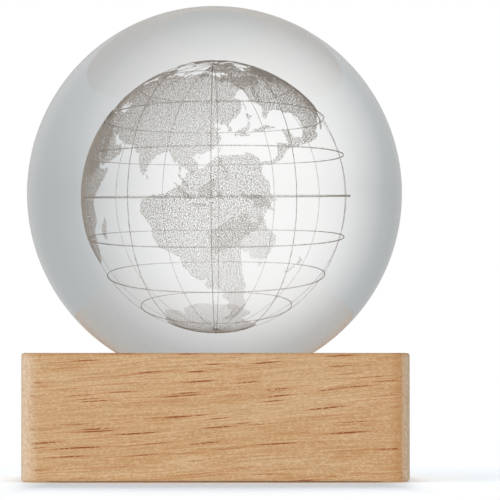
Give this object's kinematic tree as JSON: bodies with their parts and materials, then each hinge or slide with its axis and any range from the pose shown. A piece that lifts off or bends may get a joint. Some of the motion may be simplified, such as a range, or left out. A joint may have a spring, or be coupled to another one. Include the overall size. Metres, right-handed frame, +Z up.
{
  "type": "crystal ball lamp",
  "caption": "Solid clear glass ball with a world globe engraved inside it, resting in the bored seat of a square wooden block that holds an LED light, a low-voltage inlet and a push button.",
  "frame": {"origin": "centre of the face that the lamp stands on, under the middle of the ball", "axes": "+Z up through the ball's centre, -Y is the front, +Y is the rear wall with the inlet and the button, +X is to the right seen from the front"},
  "size_m": [0.06, 0.06, 0.0755],
  "materials": {
    "crystal": "polished clear optical glass, globe engraved inside as fine white points",
    "beech": "sanded pale beech with a thin matt lacquer, grain across the front",
    "frosted_acrylic": "frosted translucent disc",
    "white_board": "white solder mask on glass fibre board",
    "green_board": "green solder mask on glass fibre board",
    "led_housing": "moulded white LED housing",
    "phosphor": "clear gel over yellow phosphor",
    "resistor_black": "black chip resistor",
    "solder": "bright solder",
    "red_insulation": "soft red insulation",
    "black_insulation": "soft black insulation",
    "bright_steel": "plated steel",
    "black_plastic": "black moulded plastic",
    "cover_plastic": "black plate with a fine texture",
    "foot_rubber": "dark soft foam rubber"
  },
  "bodies": {
    "base": {"wooden_base": "beech", "light_window": "frosted_acrylic", "led_board": "white_board", "led_board_screw_left": "bright_steel", "led_board_screw_right": "bright_steel", "led_board_solder_left": "solder", "led_board_solder_right": "solder", "led_chip_1": "led_housing", "led_chip_2": "led_housing", "led_chip_3": "led_housing", "led_chip_4": "led_housing", "led_chip_5": "led_housing", "led_chip_6": "led_housing", "led_lens_1": "phosphor", "led_lens_2": "phosphor", "led_lens_3": "phosphor", "led_lens_4": "phosphor", "led_lens_5": "phosphor", "led_lens_6": "phosphor", "led_resistor_left": "resistor_black", "led_resistor_right": "resistor_black", "led_lead_red": "red_insulation", "led_lead_black": "black_insulation", "power_board": "green_board", "power_board_screw_left": "bright_steel", "power_board_screw_right": "bright_steel", "power_board_solder_left": "solder", "power_board_solder_right": "solder", "power_resistor_left": "resistor_black", "power_resistor_right": "resistor_black", "inlet_shell": "bright_steel", "inlet_tongue": "black_plastic", "switch_body": "black_plastic", "bottom_cover": "cover_plastic", "cover_screw_front_left": "bright_steel", "cover_screw_front_right": "bright_steel", "cover_screw_rear_left": "bright_steel", "cover_screw_rear_right": "bright_steel", "foot_front_left": "foot_rubber", "foot_front_right": "foot_rubber", "foot_rear_left": "foot_rubber", "foot_rear_right": "foot_rubber"},
    "ball": {"crystal_ball": "crystal"},
    "button": {"power_button": "black_plastic", "switch_plunger": "black_plastic"}
  },
  "joints": [
    {"name": "ball_lift", "type": "slide", "parent": "base", "child": "ball", "axis": [0, 0, 1], "range_m": [0, 0.04]},
    {"name": "button_press", "type": "slide", "parent": "base", "child": "button", "axis": [0, -1, 0], "range_m": [0, 0.0008], "stiffness_N_per_m": 1500}
  ]
}
